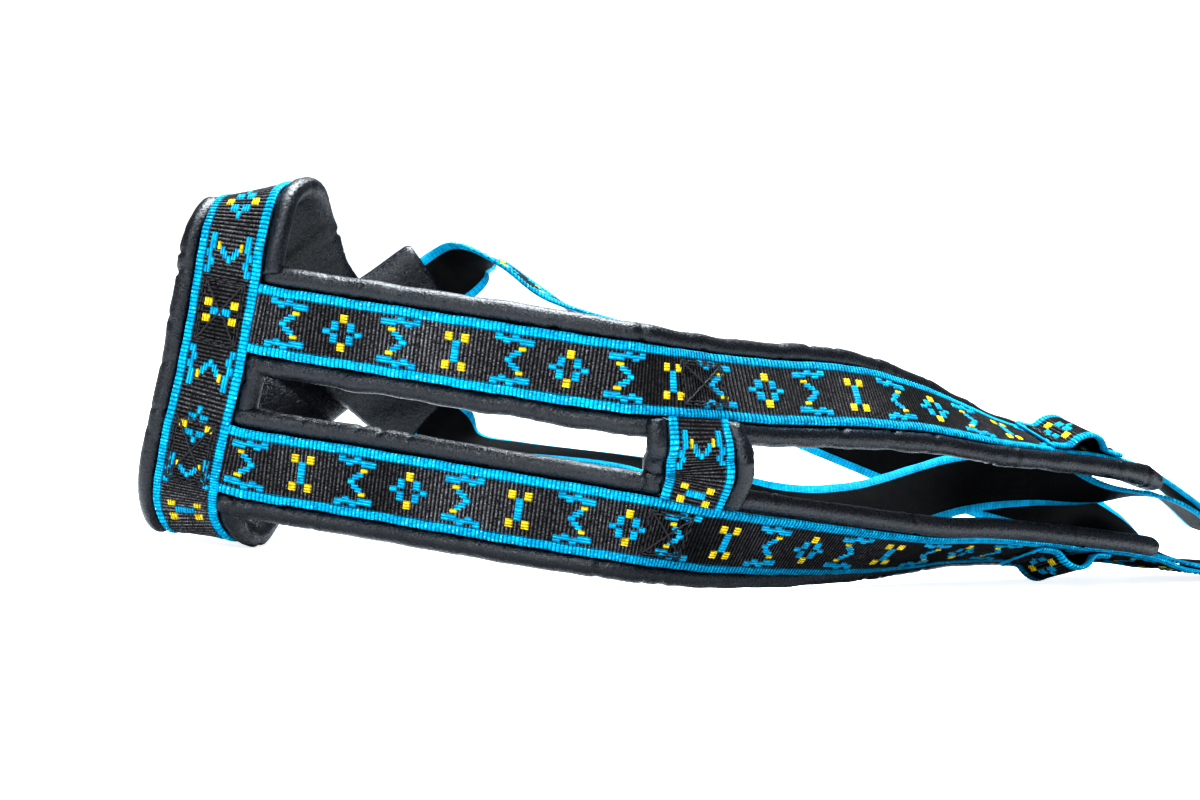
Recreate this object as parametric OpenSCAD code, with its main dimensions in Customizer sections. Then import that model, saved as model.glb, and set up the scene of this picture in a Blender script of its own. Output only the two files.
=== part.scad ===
// Pulling harness for a small or medium dog, lying on its side.
// +X runs from the collar to the tail, -Y is the chest side, +Y the back, +Z the dog's left.

/* [Overall size] */
// Length from the collar to the end of the flank webbing
harness_length = 486; // [400:1:640]
// Height of the collar as it lies on its side
collar_height = 134; // [110:1:180]
// Depth of the harness from the chest straps to the back of the collar
harness_depth = 160; // [135:1:220]

/* [Webbing] */
// Width of the patterned webbing
webbing_w = 25; // [20:0.5:30]
// Thickness of the patterned webbing
webbing_t = 1.6; // [1:0.1:2.2]

/* [Padding] */
// Width of every pad, over its rolled edges
pad_w = 40; // [36:0.5:48]
// Thickness of every pad under the webbing
pad_t = 7; // [5:0.5:9]
// Thickness of the leatherette sleeve round the foam
sleeve_t = 0.9; // [0.6:0.1:1.4]
// How far the rolled edges stand proud of the pad's face
roll_h = 2; // [1:0.1:3]

/* [Tug end] */
// Width of the webbing that holds the ring
tug_w = 15; // [12:0.5:18]
// Thickness of the webbing that holds the ring
tug_t = 1.6; // [1:0.1:2.2]
// Inside diameter of the steel ring
ring_id = 30; // [26:1:45]
// Diameter of the ring's wire
wire_d = 4; // [3:0.5:5]

/* [Side loops] */
// Length of strap that each webbing loop spans, with its sewn feet
loop_l = 40; // [34:1:60]
// Height of each webbing loop over its strap
loop_h = 6; // [5:0.5:12]

/* [Stitching] */
// Thickness of the sewing thread
thread_d = 0.6; // [0.4:0.1:1]
// Length of one stitch
stitch_l = 5; // [4:0.5:8]

/* [Hidden] */

ply_gap = 0.1;      // between layers that are sewn together
seam_gap = 1.0;     // between straps and pads that meet edge to edge
thread_gap = 0.3;   // under a thread or a loop's foot, where the webbing bends
ring_gap = 0.4;     // round the wire inside the tug loop
ring_step = 7;      // length of strap between two rings of a sweep
curve_steps = 8;    // points on a route between two of its stations
wire_fn = 48;

// Sizes at which the routes below were drawn, and the middle of the drawn harness, which is its origin
drawn = [486, 160, 134];
middle = [20.6, -3.75, 0];
size = [harness_length, harness_depth, collar_height];

// Each station is a point on the pad's face and the direction that the face looks in.
// Collar: the left yoke end, round the throat, over the top, and out to the right yoke end.
collar_stations = [
    [-129, 75, 98, .49, .86, .15], [-147, 79, 83, .41, .91, 0], [-165, 81, 69, .31, .95, 0],
    [-186, 77, 53, 0, .98, -.2], [-203, 60, 33, -.23, .81, -.54], [-217, 42, 13.6, -.35, .35, -.9],
    [-230, 29, 5, -.42, -.36, -.83], [-239, 22, 15, -.59, -.69, -.41], [-239, 19, 36, -.63, -.78, 0],
    [-235, 17, 65, -.63, -.78, 0], [-232, 16, 94, -.63, -.78, 0], [-230, 16, 115, -.61, -.73, .3],
    [-223, 24, 128, -.4, -.15, .9], [-211, 37, 127, -.15, .5, .8], [-201, 49, 113, -.13, .91, .39],
    [-188, 60, 93, 0, .99, 0], [-169, 67, 76, .31, .93, -.18], [-151, 66, 63, .41, .9, -.15],
    [-132, 65, 49, .49, .86, -.1]];
// Chest and flank straps, from clear of the collar to just before the tail
left_stations = [
    [-180, -27, 82, -.63, -.78, 0], [-151, -51, 80, -.63, -.78, .03],
    [-122, -73, 78, -.58, -.8, .14], [-102, -80, 77, -.2, -.93, .31], [-84, -77, 76, .29, -.86, .42],
    [-53, -66, 74, .29, -.84, .45], [-10, -54, 73, .28, -.81, .52], [25, -42, 69, .23, -.66, .72],
    [59, -33, 62, .13, -.47, .87], [87, -24, 57, .08, -.28, .96], [134, -12, 50, .04, -.15, .99],
    [170, -3, 36, .25, -.1, .96], [200, 3, 18, .35, 0, .94]];
right_stations = [
    [-192, -17, 31, -.63, -.78, 0], [-160, -45, 29, -.63, -.78, 0],
    [-130, -67, 27, -.63, -.78, -.03], [-105, -80, 25, -.31, -.94, -.14], [-80, -78, 22, .31, -.89, -.34],
    [-48, -68, 19, .29, -.83, -.47], [-5, -55, 16, .24, -.7, -.67], [28, -46, 15, .19, -.56, -.81],
    [63, -35, 15.4, .13, -.45, -.88], [137, -15, 11.4, .05, -.25, -.97], [170, -3, 6, 0, -.1, -1],
    [200, 3, 4.5, 0, 0, -1]];
// Back straps, from each yoke end across to the other side's flank strap
back_left_stations = [
    [-129, 75, 98, .49, .86, .15], [-123, 74, 103, .5, .8, .3], [-117, 67, 109, .4, .2, .9],
    [-109, 61, 108, .31, -.16, .94], [-90, 58, 97, .35, -.21, .91], [-51, 51, 81, .52, .37, .77],
    [1, 45, 62, .48, .83, .3], [53, 37, 45, .4, .91, .1], [89, 31, 34, .41, .91, 0],
    [126, 20, 26, .39, .87, -.3], [150, 8, 20, .2, .5, -.85], [176, 0, 9, -.15, 0, -.98],
    [202, 3, 6.4, 0, 0, -1]];
back_right_stations = [
    [-132, 65, 49, .49, .86, -.1], [-125, 64, 43, .5, .8, -.3], [-115, 58, 38, .25, .3, -.92],
    [-96, 51, 38, .05, .11, -.99], [-57, 38, 36, .05, .11, -.99], [-29, 30, 29, 0, .52, -.85],
    [5, 26, 19, .28, .87, -.4], [38, 20, 21, .4, .89, -.2], [82, 18, 34, .41, .91, 0],
    [115, 13, 37, .35, .8, .4], [138, 3, 33, .15, .4, .9], [166, -3, 33, .3, -.05, .95],
    [194, 2, 19, .4, 0, .92]];

function unit(v) = v / norm(v);
function xyz(v) = [v[0], v[1], v[2]];
function stretched(stations) = [for (q = stations)
    [for (k = [0:5]) k < 3 ? (q[k] - middle[k]) * size[k] / drawn[k] : q[k]]];

// A route is one table a coordinate, each of pairs of the length along the curve and the value
function smooth(a, b, c, d, t) =
    (2 * b + (c - a) * t + (2 * a - 5 * b + 4 * c - d) * t * t + (3 * b - a - 3 * c + d) * t * t * t) / 2;
function curve(q) = let (m = len(q) - 1) [
    for (i = [0:m - 1], j = [0:curve_steps - 1])
        smooth(i == 0 ? 2 * q[0] - q[1] : q[i - 1], q[i], q[i + 1],
            i == m - 1 ? 2 * q[m] - q[m - 1] : q[i + 2], j / curve_steps),
    q[m]];
function lengths(c) = [for (i = 0, s = 0; i < len(c);
    s = i + 1 < len(c) ? s + norm(xyz(c[i + 1]) - xyz(c[i])) : s, i = i + 1) s];
function route(stations) = let (c = curve(stations), s = lengths(c))
    [for (k = [0:5]) [for (i = [0:len(c) - 1]) [s[i], c[i][k]]]];
function route_end(r) = r[0][len(r[0]) - 1][0];
function place(r, s) = [for (k = [0:2]) lookup(s, r[k])];
function along(r, s) = unit(place(r, min(s + 1, route_end(r))) - place(r, max(s - 1, 0)));
function outward(r, s) = let (h = [for (k = [3:5]) lookup(s, r[k])], t = along(r, s)) unit(h - (h * t) * t);
function across(r, s) = cross(along(r, s), outward(r, s));
// The point at length s, v to the side of the middle and h above the pad's face
function on_strap(r, s, v, h) = place(r, s) + across(r, s) * v + outward(r, s) * h;

// Tail: both flank straps lie flat, with the two plies of the tug loop between them
ring_pitch = ring_id + wire_d;
ring_bow = ring_pitch / 2 - sqrt(pow(ring_pitch / 2, 2) - pow(tug_w / 2, 2));
eye_r = wire_d / 2 + ring_bow + ring_gap;
tail_z = eye_r + tug_t;
tail_gap = 2 * tug_t + 4 * ply_gap;
tail_x = (226 - middle[0]) * harness_length / drawn[0];
tail_y = (6 - middle[1]) * harness_depth / drawn[1];
tail_l = 20;
function tail_stations(side) = [for (x = [tail_x - 6, tail_x, tail_x + tail_l])
    [x, tail_y, tail_z + side * tail_gap / 2, 0, 0, side]];

// The chest straps leave square to the collar, at these shares of its length
collar_route = route(stretched(collar_stations));
collar_left_at = 0.57 * route_end(collar_route);
collar_right_at = 0.45 * route_end(collar_route);
function leaving(at) = [for (v = [webbing_w / 2, pad_w / 2 + 4]) concat(on_strap(collar_route, at, v, 0), outward(collar_route, at))];
left_route = route(concat(leaving(collar_left_at), stretched(left_stations), tail_stations(1)));
right_route = route(concat(leaving(collar_right_at), stretched(right_stations), tail_stations(-1)));
back_left_route = route(stretched(back_left_stations));
back_right_route = route(stretched(back_right_stations));

// The cross strap bridges the chest straps, square to both
cross_left_at = 164 * harness_length / drawn[0];
cross_right_at = 170 * harness_length / drawn[0];
cross_lift = 0.5;   // keeps its webbing clear of the pads while it turns
function beside(r, s, v) = concat(on_strap(r, s, v, cross_lift), outward(r, s));
cross_from = [for (v = [webbing_w / 2, pad_w / 2 + 2]) beside(left_route, cross_left_at, v)];
cross_to = [for (v = [pad_w / 2 + 2, webbing_w / 2]) beside(right_route, cross_right_at, -v)];
cross_turn = [0, 0, 0, -.35, 0, 0];   // between the pads it turns towards the chest
cross_route = route(concat(cross_from, [(cross_from[1] + cross_to[0]) / 2 + cross_turn], cross_to));

// Sections across a strap
function slab(w, low, high) = [[-w / 2, low], [w / 2, low], [w / 2, high], [-w / 2, high]];
webbing_section = slab(webbing_w, ply_gap, ply_gap + webbing_t);
roll_w = (pad_w - webbing_w) / 2;
// e is how far in from the pad's outer surface, and lift is 1, or 0 where a webbing presses the rolls flat
function pad_half(e, lift) = let (x = webbing_w / 2, out = pad_w / 2, top = roll_h * lift) [
    [out - 0.35 * roll_w - e / 2, -pad_t + e], [out - e, -0.65 * pad_t], [out - e, -0.2 * pad_t],
    [out - 0.3 * roll_w - e / 2, top - e], [x + 0.25 * roll_w + e / 2, 0.7 * top - e], [x, -e]];
function mirrored(q) = [for (i = [len(q) - 1:-1:0]) [-q[i][0], q[i][1]]];
function pad_section(e, lift) = concat(pad_half(e, lift), mirrored(pad_half(e, lift)));
function lift_at(s, dips) = len(dips) == 0 ? 1
    : min([for (d = dips) min(1, max(0, (abs(s - d) - webbing_w / 2 - ring_step - 1) / ring_step))]);

// Rings stand at the same places in every layer of a strap, so that the layers keep their gaps in a bend
function even(a, b) = let (n = max(1, round((b - a) / ring_step))) [for (i = [0:n - 1]) a + (b - a) * i / n];
function rings(marks) = concat([for (i = [0:len(marks) - 2]) each even(marks[i], marks[i + 1])],
    [marks[len(marks) - 1]]);
function padded(at, from, to) = [for (s = at) if (s > from - 0.01 && s < to + 0.01) s];

// Closed sweep of a section along part of a route
function skin(r, at, section) = [for (s = at, q = section) on_strap(r, s, q[0], q[1])];
function pad_skin(r, at, e, dips) = [for (s = at, q = pad_section(e, lift_at(s, dips)))
    on_strap(r, s, q[0], q[1])];
// The turned side has its diagonals the other way, like those of the face that it lies on
function walls(m, n, base, flip, turned = -1) = [for (i = [0:n - 2], j = [0:m - 1])
    let (p = base + i * m + j, q = base + i * m + (j + 1) % m)
    for (t = j == turned ? [[p, q, p + m], [q, q + m, p + m]] : [[p, q, q + m], [p, q + m, p + m]])
        flip ? [t[0], t[2], t[1]] : t];
module solid(points, m, turned = -1) {
    n = len(points) / m;
    polyhedron(points, concat(walls(m, n, 0, false, turned),
        [[for (j = [m - 1:-1:0]) j]], [[for (j = [0:m - 1]) (n - 1) * m + j]]), convexity = 8);
}
module webbing(r, at) solid(skin(r, at, webbing_section), len(webbing_section), turned = 0);
pad_points = 12;
module foam(r, at, dips = []) solid(pad_skin(r, at, sleeve_t + ply_gap, dips), pad_points);
// Sleeve: an open-ended skin with a wall
module sleeve(r, at, dips = []) {
    m = pad_points;
    n = len(at);
    base = m * n;
    ends = [for (j = [0:m - 1]) let (k = (j + 1) % m, z = (n - 1) * m)
        for (t = [[j, base + k, k], [j, base + j, base + k],
            [z + j, z + k, base + z + k], [z + j, base + z + k, base + z + j]]) t];
    polyhedron(concat(pad_skin(r, at, 0, dips), pad_skin(r, at, sleeve_t, dips)),
        concat(walls(m, n, 0, false), walls(m, n, base, true), ends), convexity = 8);
}

// Pads start clear of the pad that they are sewn to, and stop short of the tail
pad_from = roll_w + 2.5 * seam_gap;
pad_to = 412 * harness_length / drawn[0];
cross_gap = route_end(cross_route) - 2 * roll_w;   // clear distance between the chest straps' pads
cross_pad_from = roll_w + 0.37 * cross_gap;
side_loop_at = 371 * harness_length / drawn[0];
dips_collar = [collar_left_at, collar_right_at];

collar_rings = rings([0, route_end(collar_route)]);
function strap_rings(r) = rings([seam_gap, pad_from, pad_to, route_end(r) - seam_gap]);
left_rings = strap_rings(left_route);
right_rings = strap_rings(right_route);
cross_rings = let (end = route_end(cross_route))
    rings([seam_gap, cross_pad_from, end - cross_pad_from, end - seam_gap]);
cross_pad_rings = padded(cross_rings, cross_pad_from, route_end(cross_route) - cross_pad_from);

// Stitch rows are straight threads laid on the webbing between two places of a route
module thread(p, q) {
    d = q - p;
    translate(p) rotate([0, acos(d[2] / norm(d)), atan2(d[1], d[0])]) cylinder(d = thread_d, h = norm(d), $fn = 16);
}
module stitch_row(r, from, to, h) {
    span = norm(to - from);
    count = max(1, round(span / stitch_l));
    for (i = [0:count - 1]) {
        a = from + (to - from) * (i + 0.15) / count;
        b = from + (to - from) * (i + 0.85) / count;
        thread(on_strap(r, a[0], a[1], h), on_strap(r, b[0], b[1], h));
    }
}
// A box with a cross in it, l long and w wide, about length s
module box_stitch(r, s, l, w, h) {
    x = l / 2;
    y = w / 2;
    for (v = [-y, y]) stitch_row(r, [s - x, v], [s + x, v], h);
    for (e = [-x, x]) stitch_row(r, [s + e, -y], [s + e, y], h);
    stitch_row(r, [s - x + 2, -y + 2], [s + x - 2, y - 2], h);
    for (e = [-1, 1]) stitch_row(r, [s + e * (x - 2), -e * (y - 2)], [s + e * 1.5, -e * 1.5], h);
}

// Heights of threads over a route: on one ply of webbing, and on the side loops' feet
on_ply = ply_gap + webbing_t + thread_d / 2 + thread_gap;
on_feet = on_ply + webbing_t + thread_gap;
box_w = webbing_w - 9;

module collar_sleeve() color("#1d1e22") sleeve(collar_route, collar_rings, dips_collar);
module collar_foam() color("#8a8a86") foam(collar_route, collar_rings, dips_collar);
module collar_webbing() color("#16a6d6") webbing(collar_route, collar_rings);

module left_strap_sleeve() color("#1d1e22")
    sleeve(left_route, padded(left_rings, pad_from, pad_to), [cross_left_at]);
module left_strap_foam() color("#8a8a86") foam(left_route, padded(left_rings, pad_from, pad_to), [cross_left_at]);
module left_strap_webbing() color("#16a6d6") webbing(left_route, left_rings);

module right_strap_sleeve() color("#1d1e22")
    sleeve(right_route, padded(right_rings, pad_from, pad_to), [cross_right_at]);
module right_strap_foam() color("#8a8a86")
    foam(right_route, padded(right_rings, pad_from, pad_to), [cross_right_at]);
module right_strap_webbing() color("#16a6d6") webbing(right_route, right_rings);

module cross_strap_sleeve() color("#1d1e22") sleeve(cross_route, cross_pad_rings);
module cross_strap_foam() color("#8a8a86") foam(cross_route, cross_pad_rings);
module cross_strap_webbing() color("#16a6d6") webbing(cross_route, cross_rings);

function back_rings(r) = rings([2 * seam_gap, route_end(r)]);
module back_strap_left() color("#16a6d6") webbing(back_left_route, back_rings(back_left_route));
module back_strap_right() color("#16a6d6") webbing(back_right_route, back_rings(back_right_route));

// Side loop: a short webbing sewn down at both ends, arched between them
loop_base = webbing_t + 2 * ply_gap + thread_gap;
function arch(r) = [for (e = [[-1, 0], [-0.72, 0], [-0.5, 0.15], [-0.3, 0.75], [0, 1], [0.3, 0.75], [0.5, 0.15],
    [0.72, 0], [1, 0]]) let (s = side_loop_at + e[0] * loop_l / 2)
    concat(on_strap(r, s, 0, loop_base + e[1] * loop_h), outward(r, s))];
loop_section = slab(webbing_w - 1, 0, webbing_t);
module side_loop(r) {
    q = route(arch(r));
    n = 22;
    solid([for (i = [0:n], e = loop_section) on_strap(q, route_end(q) * i / n, e[0], e[1])], len(loop_section), turned = 0);
}
module left_side_loop() color("#1887b8") side_loop(left_route);
module right_side_loop() color("#1887b8") side_loop(right_route);

// Tug loop: one webbing folded round the ring's wire, both plies sewn into the tail
ring_x = tail_x + tail_l + 10 + eye_r;
tug_fold = 20;
module tug_loop() color("#16a6d6") {
    x = tail_x + 2;
    low = tail_gap / 2 - ply_gap;
    fold = [for (i = [0:tug_fold]) let (a = -125 + 250 * i / tug_fold) [cos(a), sin(a)]];
    outer = concat([[x, -low], [tail_x + tail_l, -low]], [for (f = fold) [ring_x, 0] + (eye_r + tug_t) * f],
        [[tail_x + tail_l, low], [x, low]]);
    inner = concat([[x, -low + tug_t], [tail_x + tail_l, -low + tug_t]], [for (f = fold) [ring_x, 0] + eye_r * f],
        [[tail_x + tail_l, low - tug_t], [x, low - tug_t]]);
    translate([0, tail_y + tug_w / 2, tail_z]) rotate([90, 0, 0]) linear_extrude(tug_w)
        polygon(concat(outer, [for (i = [len(inner) - 1:-1:0]) inner[i]]));
}

// The ring lies with its far side on the ground
ring_tilt = asin((tail_z - wire_d / 2) / ring_pitch);
module tug_ring() color("#c8ccd0")
    translate([ring_x, tail_y, tail_z]) rotate([0, ring_tilt, 0]) translate([ring_pitch / 2, 0, 0])
        rotate_extrude($fn = 96) translate([ring_pitch / 2, 0]) circle(d = wire_d, $fn = wire_fn);

module collar_left_stitching() color("#101114") box_stitch(collar_route, collar_left_at, 24, box_w, on_ply);
module collar_right_stitching() color("#101114") box_stitch(collar_route, collar_right_at, 24, box_w, on_ply);
module cross_left_stitching() color("#101114") box_stitch(left_route, cross_left_at + 5, 20, box_w, on_ply);
module cross_right_stitching() color("#101114") box_stitch(right_route, cross_right_at - 5, 16, box_w, on_ply);

// Withers: the upper band's webbing is sewn where the bands cross, and at each yoke end
withers_at = 45 * harness_length / drawn[0];
module withers_stitching() color("#101114") {
    box_stitch(collar_route, withers_at, 18, box_w, on_ply);
    for (e = [3, 6, route_end(collar_route) - 6, route_end(collar_route) - 3])
        stitch_row(collar_route, [e, -box_w / 2], [e, box_w / 2], on_ply);
}
back_end_at = 458 * harness_length / drawn[0];
module back_strap_stitching() color("#101114")
    for (r = [left_route, right_route]) box_stitch(r, back_end_at, 18, box_w, on_ply);
module side_loop_stitching() color("#101114")
    for (r = [left_route, right_route], e = [-1, 1], d = [2, 4.5])
        stitch_row(r, [side_loop_at + e * (loop_l / 2 - d), -box_w / 2],
            [side_loop_at + e * (loop_l / 2 - d), box_w / 2], on_feet);
module tail_stitching() color("#101114")
    for (r = [left_route, right_route]) box_stitch(r, route_end(r) - tail_l / 2 - 1, tail_l - 6, tug_w - 4, on_ply);

collar_sleeve();
collar_foam();
collar_webbing();
left_strap_sleeve();
left_strap_foam();
left_strap_webbing();
right_strap_sleeve();
right_strap_foam();
right_strap_webbing();
cross_strap_sleeve();
cross_strap_foam();
cross_strap_webbing();
back_strap_left();
back_strap_right();
left_side_loop();
right_side_loop();
tug_loop();
tug_ring();
collar_left_stitching();
collar_right_stitching();
cross_left_stitching();
cross_right_stitching();
withers_stitching();
back_strap_stitching();
side_loop_stitching();
tail_stitching();
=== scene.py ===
import math

import bpy
import numpy as np
from mathutils import Matrix, Vector


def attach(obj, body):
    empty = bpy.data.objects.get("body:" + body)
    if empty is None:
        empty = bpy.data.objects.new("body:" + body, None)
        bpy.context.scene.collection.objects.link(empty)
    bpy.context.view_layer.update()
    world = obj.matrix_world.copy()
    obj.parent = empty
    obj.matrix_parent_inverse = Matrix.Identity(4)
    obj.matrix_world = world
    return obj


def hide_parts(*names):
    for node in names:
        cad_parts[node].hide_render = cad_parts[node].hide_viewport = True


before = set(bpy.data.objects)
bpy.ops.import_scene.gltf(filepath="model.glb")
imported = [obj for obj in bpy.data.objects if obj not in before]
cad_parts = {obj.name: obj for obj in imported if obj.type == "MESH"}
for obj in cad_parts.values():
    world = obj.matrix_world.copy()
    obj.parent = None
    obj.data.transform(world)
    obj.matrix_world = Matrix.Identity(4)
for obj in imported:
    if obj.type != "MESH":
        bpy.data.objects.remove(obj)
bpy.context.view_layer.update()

scene = bpy.context.scene

# Camera
# A long lens a metre away, a little above the table, on the chest side of the harness.
# It leans a few degrees, so that the straps run down to the right.
eye = Vector((-0.5481, -0.98195, 0.1475))
look = Vector((0.40549, 0.91074, -0.07846)).normalized()
lean = math.radians(4.8)
level_right = look.cross(Vector((0, 0, 1))).normalized()
level_up = level_right.cross(look)
right = math.cos(lean) * level_right + math.sin(lean) * level_up
up = math.cos(lean) * level_up - math.sin(lean) * level_right
camera = bpy.data.objects.new("camera", bpy.data.cameras.new("camera"))
camera.data.sensor_width = 36
camera.data.lens = 86.45
camera.data.clip_start = 0.05
camera.matrix_world = Matrix((
    (right.x, up.x, -look.x, eye.x),
    (right.y, up.y, -look.y, eye.y),
    (right.z, up.z, -look.z, eye.z),
    (0, 0, 0, 1)))
scene.collection.objects.link(camera)
scene.camera = camera

# Table and lights
# A white sweep that curves up far behind the harness, under a pale sky. Both are brighter to the camera
# than to the harness, so that the ground is white and the blacks stay deep.
# Two soft boxes, one over the harness and one beside the camera, draw the sheen on the pads.
sweep_half = 4.0
sweep_back = 3.0
sweep_top = 4.0
sweep_bend = 1.2
sweep_bend_steps = 16
paper_glow = 0.6
sky_light = 0.3
sky_seen = 1.1
lamp_colour = (0.90, 0.96, 1.0)


def node(tree, kind, links=(), **settings):
    made = tree.nodes.new(kind)
    for key, value in settings.items():
        setattr(made, key, value)
    for socket, source in dict(links).items():
        if isinstance(source, bpy.types.NodeSocket):
            tree.links.new(source, made.inputs[socket])
        else:
            made.inputs[socket].default_value = source
    return made


def new_material(name):
    made = bpy.data.materials.new(name)
    made.use_nodes = True
    return made, made.node_tree, made.node_tree.nodes["Principled BSDF"]


profile = [(-sweep_half, 0.0), (sweep_back, 0.0)]
for i in range(1, sweep_bend_steps + 1):
    turn = math.pi / 2 * i / sweep_bend_steps
    profile.append((sweep_back + sweep_bend * math.sin(turn), sweep_bend * (1 - math.cos(turn))))
profile.append((sweep_back + sweep_bend, sweep_top))
points = [(x, y, z) for x in (-sweep_half, sweep_half) for y, z in profile]
faces = [(i, i + len(profile), i + len(profile) + 1, i + 1) for i in range(len(profile) - 1)]
sweep_mesh = bpy.data.meshes.new("sweep")
sweep_mesh.from_pydata(points, [], faces)
sweep_mesh.shade_smooth()
sweep = bpy.data.objects.new("sweep", sweep_mesh)
sweep.rotation_euler = (0, 0, -math.atan2(look.x, look.y))
scene.collection.objects.link(sweep)
paper, tree, shader = new_material("white paper")
shader.inputs["Base Color"].default_value = (0.93, 0.94, 0.95, 1)
shader.inputs["Roughness"].default_value = 0.8
shader.inputs["Emission Color"].default_value = (0.97, 0.98, 1.0, 1)
seen = node(tree, "ShaderNodeLightPath")
glow = node(tree, "ShaderNodeMath", {0: seen.outputs["Is Camera Ray"], 1: paper_glow}, operation="MULTIPLY")
tree.links.new(glow.outputs[0], shader.inputs["Emission Strength"])
sweep_mesh.materials.append(paper)

scene.world = bpy.data.worlds.new("sky")
scene.world.use_nodes = True
tree = scene.world.node_tree
sky = tree.nodes["Background"]
sky.inputs["Color"].default_value = (0.93, 0.97, 1.0, 1)
seen = node(tree, "ShaderNodeLightPath")
bright = node(tree, "ShaderNodeMapRange",
    {"Value": seen.outputs["Is Camera Ray"], "To Min": sky_light, "To Max": sky_seen})
tree.links.new(bright.outputs["Result"], sky.inputs["Strength"])
scene.view_settings.view_transform = "Standard"
scene.view_settings.look = "High Contrast"


def soft_box(name, place, aim, width, watts):
    lamp = bpy.data.lights.new(name, "AREA")
    lamp.shape = "SQUARE"
    lamp.size = width
    lamp.energy = watts
    lamp.color = lamp_colour
    holder = bpy.data.objects.new(name, lamp)
    holder.location = place
    holder.rotation_euler = (Vector(aim) - Vector(place)).to_track_quat("-Z", "Y").to_euler()
    scene.collection.objects.link(holder)


soft_box("top box", (-0.05, 0.25, 0.9), (-0.05, 0, 0), 0.42, 21)
soft_box("side box", (-0.9, -0.9, 0.9), (-0.05, 0, 0.05), 0.3, 16)

# Collar
# A leatherette pad with a rolled edge on both sides, run once round the neck so that its ends cross
# over the shoulders. A patterned ribbed webbing is sewn along the middle of it.
# Sizes are in millimetres until a mesh is made.
webbing_w = 25.0
webbing_t = 1.6
ply_gap = 0.1
pad_w = 40.0
pad_t = 7.0
roll_h = 2.0
band_inset = 0.3
middle = np.array([20.6, -3.75, 0, 0, 0, 0])
collar_stations = [
    [-129, 75, 98, .49, .86, .15], [-147, 79, 83, .41, .91, 0], [-165, 81, 69, .31, .95, 0],
    [-186, 77, 53, 0, .98, -.2], [-203, 60, 33, -.23, .81, -.54], [-217, 42, 13.6, -.35, .35, -.9],
    [-230, 29, 5, -.42, -.36, -.83], [-239, 22, 15, -.59, -.69, -.41], [-239, 19, 36, -.63, -.78, 0],
    [-235, 17, 65, -.63, -.78, 0], [-232, 16, 94, -.63, -.78, 0], [-230, 16, 115, -.61, -.73, .3],
    [-223, 24, 128, -.4, -.15, .9], [-211, 37, 127, -.15, .5, .8], [-201, 49, 113, -.13, .91, .39],
    [-188, 60, 93, 0, .99, 0], [-169, 67, 76, .31, .93, -.18], [-151, 66, 63, .41, .9, -.15],
    [-132, 65, 49, .49, .86, -.1]]


def unit(v):
    return v / np.linalg.norm(v, axis=-1, keepdims=True)


class Route:
    """A smooth line through stations, each a point and the way that the strap's face looks there."""

    fine = 40

    def __init__(self, stations):
        q = np.array(stations, float)
        q = np.vstack([2 * q[0] - q[1], q, 2 * q[-1] - q[-2]])
        t = np.linspace(0, 1, self.fine, endpoint=False)[:, None]
        a, b, c, d = q[:-3, None], q[1:-2, None], q[2:-1, None], q[3:, None]
        line = (2 * b + (c - a) * t + (2 * a - 5 * b + 4 * c - d) * t ** 2
            + (3 * b - a - 3 * c + d) * t ** 3) / 2
        self.line = np.vstack([line.reshape(-1, 6), q[-2:-1]])
        step = np.linalg.norm(np.diff(self.line[:, :3], axis=0), axis=1)
        self.s = np.concatenate([[0], np.cumsum(step)])
        self.end = self.s[-1]

    def at(self, s):
        return np.stack([np.interp(s, self.s, self.line[:, k]) for k in range(6)], -1)

    def frame(self, s):
        """Point, outward direction and direction across, for each length in s."""
        s = np.atleast_1d(np.asarray(s, float))
        here = self.at(s)
        t = unit(self.at(np.minimum(s + 1, self.end))[:, :3] - self.at(np.maximum(s - 1, 0))[:, :3])
        n = unit(here[:, 3:] - (here[:, 3:] * t).sum(-1, keepdims=True) * t)
        return here[:, :3], n, np.cross(t, n)

    def on(self, s, v, h):
        """Points at lengths s, v to the side and h above the pad's face. v and h are rows or one row each."""
        p, n, w = self.frame(s)
        v, h = np.broadcast_arrays(np.asarray(v, float), np.asarray(h, float))
        if v.ndim < 2:
            v, h = (np.broadcast_to(x, (len(p), x.size)) for x in (v.reshape(1, -1), h.reshape(1, -1)))
        return p[:, None] + w[:, None] * v[..., None] + n[:, None] * h[..., None]


def drawn(stations):
    return np.array(stations, float) - middle


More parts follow.
